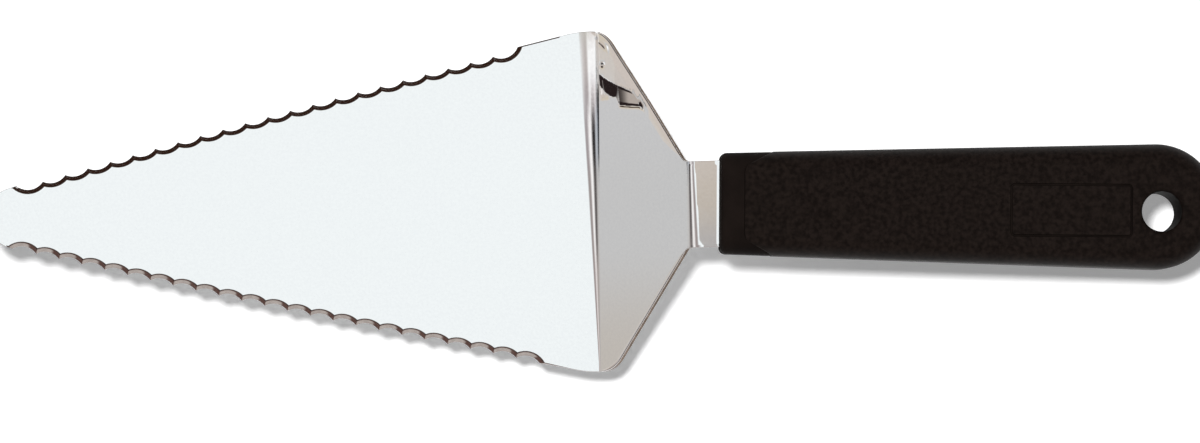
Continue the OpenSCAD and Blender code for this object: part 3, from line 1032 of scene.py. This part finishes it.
FLOOR_GAP = 27.0
FLOOR_R = 0.6
FLOOR_SIDES = 96
FLOOR_PAINT = (0.93, 0.93, 0.93, 1)
FLOOR_GLOW = 0.23
heel_low = Vector((-(HEEL_BEND_R + HALF_SHEET) * math.tan(RISER_ANGLE / 2), 0, SHEET_T + HEEL_BEND_R))
end_low_x = HANDLE_FRONT.x + END_CENTER_L + END_R - GRIP_EDGE_R
end_low = Vector((end_low_x, 0, HANDLE_FRONT.z - END_T / 2 + GRIP_EDGE_R))
gap = end_low - heel_low
floor_tilt = math.atan2(gap.z, gap.x) + math.asin((SHEET_T + HEEL_BEND_R - GRIP_EDGE_R) / gap.length)
floor_up = Vector((-math.sin(floor_tilt), 0, math.cos(floor_tilt)))
heel_low.x += CENTER_SHIFT
floor_point = (heel_low - floor_up * (SHEET_T + HEEL_BEND_R + FLOOR_GAP)) * MM
floor_turn = Matrix.Rotation(-floor_tilt, 4, "Y")


def floor_material():
    """A pale paint that glows to the camera alone, so that it is white but keeps the shadow."""
    material, tree, out = new_material("pale_floor")
    paint = node(tree, "ShaderNodeBsdfDiffuse", Color=FLOOR_PAINT)
    glow = node(tree, "ShaderNodeEmission", Color=(1, 1, 1, 1), Strength=FLOOR_GLOW)
    both = node(tree, "ShaderNodeAddShader")
    seen = node(tree, "ShaderNodeLightPath")
    mix = node(tree, "ShaderNodeMixShader")
    join(tree, (
        (paint, "BSDF", both, 0), (glow, "Emission", both, 1), (seen, "Is Camera Ray", mix, "Fac"),
        (paint, "BSDF", mix, 1), (both, "Shader", mix, 2), (mix, "Shader", out, "Surface"),
    ))
    return material


disc = bpy.data.meshes.new("floor")
rays = [2 * math.pi * k / FLOOR_SIDES for k in range(FLOOR_SIDES)]
rounds = [(FLOOR_R * math.cos(a), FLOOR_R * math.sin(a), 0) for a in rays]
disc.from_pydata(rounds, [], [list(range(FLOOR_SIDES))])
disc.materials.append(floor_material())
floor = new_object("floor", disc)
floor.matrix_world = Matrix.Translation(floor_point) @ floor_turn

# World: white to the camera, a plain studio to the metal

DIM_COLOR = (0.97, 0.985, 1, 1)
DIM_STRENGTH = 0.11
world = bpy.data.worlds.new("studio")
bpy.context.scene.world = world
world.use_nodes = True
tree = world.node_tree
tree.nodes.clear()
out = tree.nodes.new("ShaderNodeOutputWorld")
sky = node(tree, "ShaderNodeBackground", Strength=1.0)
white = node(tree, "ShaderNodeBackground", Color=(1, 1, 1, 1), Strength=1.0)
dim = node(tree, "ShaderNodeBackground", Color=DIM_COLOR, Strength=DIM_STRENGTH)
seen = node(tree, "ShaderNodeLightPath")
place = node(tree, "ShaderNodeTexCoord")
split = node(tree, "ShaderNodeSeparateXYZ")
tree.links.new(place.outputs["Generated"], split.inputs["Vector"])


def math_node(operation, *values):
    """A Math node, each value a number or another node's output."""
    made = tree.nodes.new("ShaderNodeMath")
    made.operation = operation
    for socket, value in zip(made.inputs, values):
        if isinstance(value, (int, float)):
            socket.default_value = value
        else:
            tree.links.new(value, socket)
    return made.outputs[0]


def ramp_between(value, low, high):
    """0 to 1 as the value goes from low to high, which may be the smaller one."""
    made = node(tree, "ShaderNodeMapRange")
    made.interpolation_type = "SMOOTHSTEP"
    made.inputs["From Min"].default_value, made.inputs["From Max"].default_value = low, high
    tree.links.new(value, made.inputs["Value"])
    return made.outputs["Result"]


def blend_color(factor, a, b):
    made = tree.nodes.new("ShaderNodeMix")
    made.data_type = "RGBA"
    tree.links.new(factor, made.inputs["Factor"])
    for socket, value in ((made.inputs[6], a), (made.inputs[7], b)):
        if isinstance(value, tuple):
            socket.default_value = (*value, 1)
        else:
            tree.links.new(value, socket)
    return made.outputs[2]


def tinted(base, value, tints):
    """The base colour with each tint laid over it in turn, between its limits of the value."""
    for low, high, color in tints:
        base = blend_color(ramp_between(value, low, high), base, color)
    return base


def srgb(*values):
    """Linear colour of a colour given by its display values."""
    shares = [v / 255 for v in values]
    return tuple(v / 12.92 if v <= 0.04045 else ((v + 0.055) / 1.055) ** 2.4 for v in shares)


# Bands of the studio by their height over the tip's end, in degrees: 0 is level, 90 is overhead
BANDS_TOP = 110
OPEN = srgb(246, 251, 252)
OPEN_FROM = 88.5
RISER = srgb(199, 199, 199)
GLARE = (1.05, 1.05, 1.05)
BRIGHT = (0.95, 0.93, 0.93)
FAR_BANDS = (
    (0, RISER), (4, RISER), (7, srgb(50, 52, 58)), (13, srgb(50, 52, 58)), (21, srgb(185, 192, 200)),
    (28, srgb(180, 184, 190)), (35, srgb(22, 22, 26)), (46, srgb(26, 24, 26)), (56, (1.0, 0.98, 0.98)),
    (63, (1.0, 0.98, 0.98)), (74, srgb(166, 158, 160)), (83, srgb(164, 156, 158)), (OPEN_FROM, OPEN),
)
MID_BANDS = (
    (0, RISER), (17, srgb(200, 198, 196)), (27, srgb(170, 166, 164)), (33, srgb(98, 93, 92)),
    (43, srgb(98, 93, 92)), (54, (0.95, 0.93, 0.92)), (60, (0.95, 0.93, 0.92)), (70, srgb(158, 148, 146)),
    (80, srgb(158, 150, 148)), (OPEN_FROM, OPEN),
)
CORNER_BANDS = (
    (0, RISER), (4, RISER), (6, srgb(14, 13, 16)), (18, srgb(14, 13, 16)), (28, srgb(232, 224, 224)),
    (38, srgb(204, 196, 198)), (45, srgb(214, 206, 206)), (52, BRIGHT), (63, srgb(152, 142, 144)),
    (71, srgb(160, 152, 154)), (83, srgb(214, 212, 212)), (OPEN_FROM, OPEN),
)
GLARE_BANDS = (
    (0, srgb(208, 200, 193)), (12, srgb(206, 198, 192)), (15, GLARE), (54, GLARE), (62, srgb(194, 186, 184)),
    (67, srgb(190, 182, 180)), (76, srgb(212, 206, 204)), (OPEN_FROM, OPEN),
)
END_BANDS = (
    (0, srgb(208, 198, 190)), (40, srgb(205, 195, 188)), (60, srgb(200, 198, 188)), (84, srgb(205, 203, 198)),
    (89, OPEN),
)
NEAR_BANDS = (
    (0, RISER), (22, srgb(184, 178, 174)), (33, srgb(168, 160, 156)), (41, srgb(184, 176, 172)),
    (50, srgb(226, 218, 216)), (57, srgb(226, 218, 216)), (69, srgb(158, 146, 144)),
    (79, srgb(160, 148, 146)), (OPEN_FROM, OPEN),
)
# Limits of the sideways direction between which each set of bands takes over, over the middle ones
BAND_ZONES = (
    (0.034, 0.030, NEAR_BANDS), (0.0425, 0.044, FAR_BANDS), (0.0495, 0.0505, CORNER_BANDS),
    (0.0528, 0.0538, GLARE_BANDS), (0.0585, 0.0595, END_BANDS),
)
# The low studio that the riser sees, in the same way
RISER_LOW, RISER_TOP = 5, 6.5
RISER_TINTS = (
    (0.034, 0.02, srgb(194, 188, 181)), (0.04, 0.052, srgb(202, 202, 203)),
    (0.0525, 0.0545, srgb(209, 202, 195)), (0.07, 0.09, srgb(208, 198, 182)),
    (0.014, 0.008, srgb(206, 199, 192)), (-0.01, -0.04, srgb(180, 170, 162)),
)
# The neck sees the studio just behind the part that the flat blade sees
NECK_FROM, NECK_TO = 93.95, 94.2
NECK = srgb(176, 173, 173)
NECK_TINTS = ((0.033, 0.038, srgb(194, 184, 172)), (0.039, 0.0435, srgb(201, 191, 182)))
# Behind that the studio darkens by its height
BACK_TINTS = ((96, 100, (0.5, 0.45, 0.41)), (104, 125, (0.3, 0.26, 0.23)))
# White under the level, on the near side of a limit
BELOW_FROM, BELOW_TO = 0.5, -1
BELOW_SIDE = (0.057, 0.056)
# Darker studio walls to the two sides, and a paler low wall on the near side
WALL_TINTS = (
    (0.17, 0.24, srgb(54, 36, 29)), (-0.1, -0.14, srgb(40, 32, 32)), (-0.4, -0.55, srgb(104, 80, 74)),
)
LOW_WALL = (-0.8, -0.88, srgb(196, 187, 182))
LOW_WALL_SLANT = 0.05
# The height that the flat blade sees
FLAT_HEIGHT = 93.6


def band_ramp(bands, height):
    made = node(tree, "ShaderNodeValToRGB")
    for k, (angle, color) in enumerate((*bands, (BANDS_TOP, OPEN))):
        element = made.color_ramp.elements[k] if k < 2 else made.color_ramp.elements.new(angle / BANDS_TOP)
        element.position, element.color = angle / BANDS_TOP, (*color, 1)
    tree.links.new(math_node("MULTIPLY", height, 1 / BANDS_TOP), made.inputs["Fac"])
    return made.outputs["Color"]


turned = math_node("ARCTAN2", split.outputs["Z"], math_node("MULTIPLY", split.outputs["X"], -1.0))
height = math_node("MULTIPLY", turned, 180 / math.pi)
# The bends flare across the blade, which turns what they see sideways: this puts it back
lean = math_node("MULTIPLY", math_node("SUBTRACT", FLAT_HEIGHT, height), math.pi / 360)
lean = math_node("MINIMUM", math_node("MAXIMUM", lean, 0.0), RISER_ANGLE)
flare = math_node("MULTIPLY", math_node("SINE", lean), math.tan(RISER_ANGLE / 2))
flare = math_node("SUBTRACT", math_node("ADD", flare, math_node("COSINE", lean)), 1.0)
flare = math_node("MULTIPLY", math_node("MULTIPLY", flare, math_node("COSINE", lean)), 2 * BEND_FLARE)
side = math_node("ADD", split.outputs["Y"], flare)
zones = [(low, high, band_ramp(bands, height)) for low, high, bands in BAND_ZONES]
colors = tinted(band_ramp(MID_BANDS, height), side, zones)
colors = blend_color(ramp_between(height, RISER_TOP, RISER_LOW), colors, tinted(RISER, side, RISER_TINTS))
neck = tinted(NECK, side, NECK_TINTS)
colors = tinted(colors, height, ((NECK_FROM, NECK_TO, neck), *BACK_TINTS))
below = math_node("MULTIPLY", ramp_between(height, BELOW_FROM, BELOW_TO), ramp_between(side, *BELOW_SIDE))
colors = tinted(blend_color(below, colors, (1.0, 1.0, 1.0)), side, WALL_TINTS)
slanted = math_node("SUBTRACT", side, math_node("MULTIPLY", split.outputs["X"], LOW_WALL_SLANT))
colors = tinted(colors, slanted, (LOW_WALL,))
tree.links.new(colors, sky.inputs["Color"])
by_diffuse = node(tree, "ShaderNodeMixShader")
by_camera = node(tree, "ShaderNodeMixShader")
join(tree, (
    (seen, "Is Diffuse Ray", by_diffuse, "Fac"), (sky, "Background", by_diffuse, 1),
    (dim, "Background", by_diffuse, 2), (seen, "Is Camera Ray", by_camera, "Fac"),
    (by_diffuse, "Shader", by_camera, 1), (white, "Background", by_camera, 2),
    (by_camera, "Shader", out, "Surface"),
))

# Camera

CAMERA_D = 2.0
CAMERA_CLIP = 20
PX_PER_M = 4078.9
FRAME_W = 1200
SENSOR_W = 36
CAMERA_TURNS = ((1.635, "Z"), (3.646, "Y"), (-2.096, "X"))
TARGET_X, TARGET_Y = 0.893, -4.894
roll, tilt_y, tilt_x = (Matrix.Rotation(math.radians(angle), 3, axis) for angle, axis in CAMERA_TURNS)
camera_turn = (roll @ tilt_y @ tilt_x).transposed()
target = Vector((TARGET_X + CENTER_SHIFT, TARGET_Y, 0)) * MM
data = bpy.data.cameras.new("camera")
data.sensor_width = SENSOR_W
data.lens = PX_PER_M * CAMERA_D / FRAME_W * SENSOR_W
data.clip_end = CAMERA_CLIP
camera = new_object("camera", data)
camera_place = target + camera_turn @ Vector((0, 0, CAMERA_D))
camera.matrix_world = Matrix.Translation(camera_place) @ camera_turn.to_4x4()
bpy.context.scene.camera = camera
bpy.context.scene.view_settings.view_transform = "Standard"

# Lights

KEY_SIZE = 0.15
KEY_ENERGY = 48
KEY_PLACE = Vector((-0.034, 0.108, 2.2))
key_data = bpy.data.lights.new("key", "AREA")
key_data.shape = "DISK"
key_data.size = KEY_SIZE
key_data.energy = KEY_ENERGY
key = new_object("key", key_data)
key_place = floor_point + floor_turn.to_3x3() @ KEY_PLACE
key_turn = (key_place - floor_point).to_track_quat("Z", "Y").to_matrix().to_4x4()
key.matrix_world = Matrix.Translation(key_place) @ key_turn
key.visible_glossy = False
